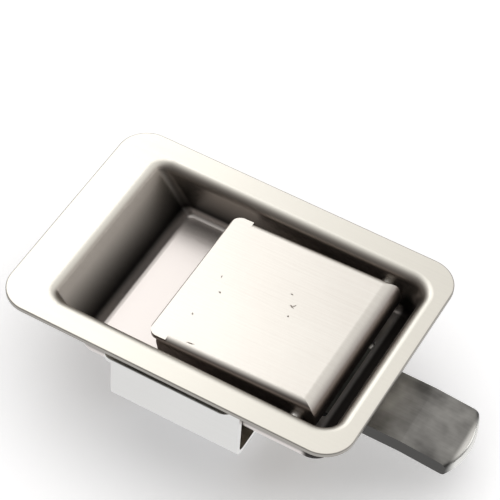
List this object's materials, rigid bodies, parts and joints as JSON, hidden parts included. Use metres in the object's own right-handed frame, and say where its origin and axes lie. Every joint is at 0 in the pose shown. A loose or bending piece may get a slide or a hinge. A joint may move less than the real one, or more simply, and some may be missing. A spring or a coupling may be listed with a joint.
{
  "type": "paddle latch",
  "caption": "Flush stainless paddle latch with a dished pan, hinged pull paddle, sliding tongue bolt and a hat-shaped clamping bracket drawn up by a socket screw.",
  "frame": {"origin": "middle of the flange's back face, where the door skin seats", "axes": "+X runs towards the bolt's tip, +Y across the latch and +Z out of the door"},
  "size_m": [0.1348, 0.078, 0.036],
  "materials": {
    "pan_steel": "brushed stainless sheet",
    "pin_steel": "drawn stainless wire, peened",
    "paddle_steel": "brushed stainless sheet, a few scratches",
    "yoke_steel": "plain stainless sheet",
    "spring_steel": "spring wire",
    "bolt_steel": "tumbled stainless plate, polished nose",
    "cover_steel": "bright stainless sheet with heat tint at the welds",
    "weld_metal": "weld nugget with straw and brown heat tint",
    "nut_steel": "plain machined steel",
    "bracket_steel": "mill-finish stainless sheet",
    "screw_steel": "bright plated, knurled head"
  },
  "bodies": {
    "housing": {"pan": "pan_steel", "hinge_pin": "pin_steel", "guide_cover": "cover_steel", "cover_weld_far": "weld_metal", "cover_weld_near": "weld_metal", "weld_nut": "nut_steel", "return_spring_far": "spring_steel", "return_spring_near": "spring_steel"},
    "paddle": {"paddle": "paddle_steel", "paddle_yoke": "yoke_steel"},
    "bolt": {"latch_bolt": "bolt_steel"},
    "bracket": {"mounting_bracket": "bracket_steel"},
    "screw": {"clamp_screw": "screw_steel"}
  },
  "joints": [
    {"name": "paddle_hinge", "type": "hinge", "parent": "housing", "child": "paddle", "pos_m": [0.036, 0, -0.005], "axis": [0, 1, 0], "range_deg": [0, 38], "stiffness_Nm_per_rad": 0.1, "springref_deg": -34.38, "deforming": ["return_spring_far", "return_spring_near"]},
    {"name": "bolt_slide", "type": "slide", "parent": "housing", "child": "bolt", "axis": [-1, 0, 0], "range_m": [0, 0.0102]},
    {"name": "bracket_slide", "type": "slide", "parent": "housing", "child": "bracket", "axis": [0, 0, -1], "range_m": [-0.0014, 0.008]},
    {"name": "screw_turn", "type": "hinge", "parent": "bracket", "child": "screw", "pos_m": [0.001, 0, -0.0285], "axis": [0, 0, -1], "range_deg": [-504.1, 2880.1]}
  ],
  "couplings": [
    {"joint": "bolt_slide", "follows": "paddle_hinge", "m_per_rad": 0.0153},
    {"joint": "screw_turn", "follows": "bracket_slide", "rad_per_m": 6283.2}
  ]
}
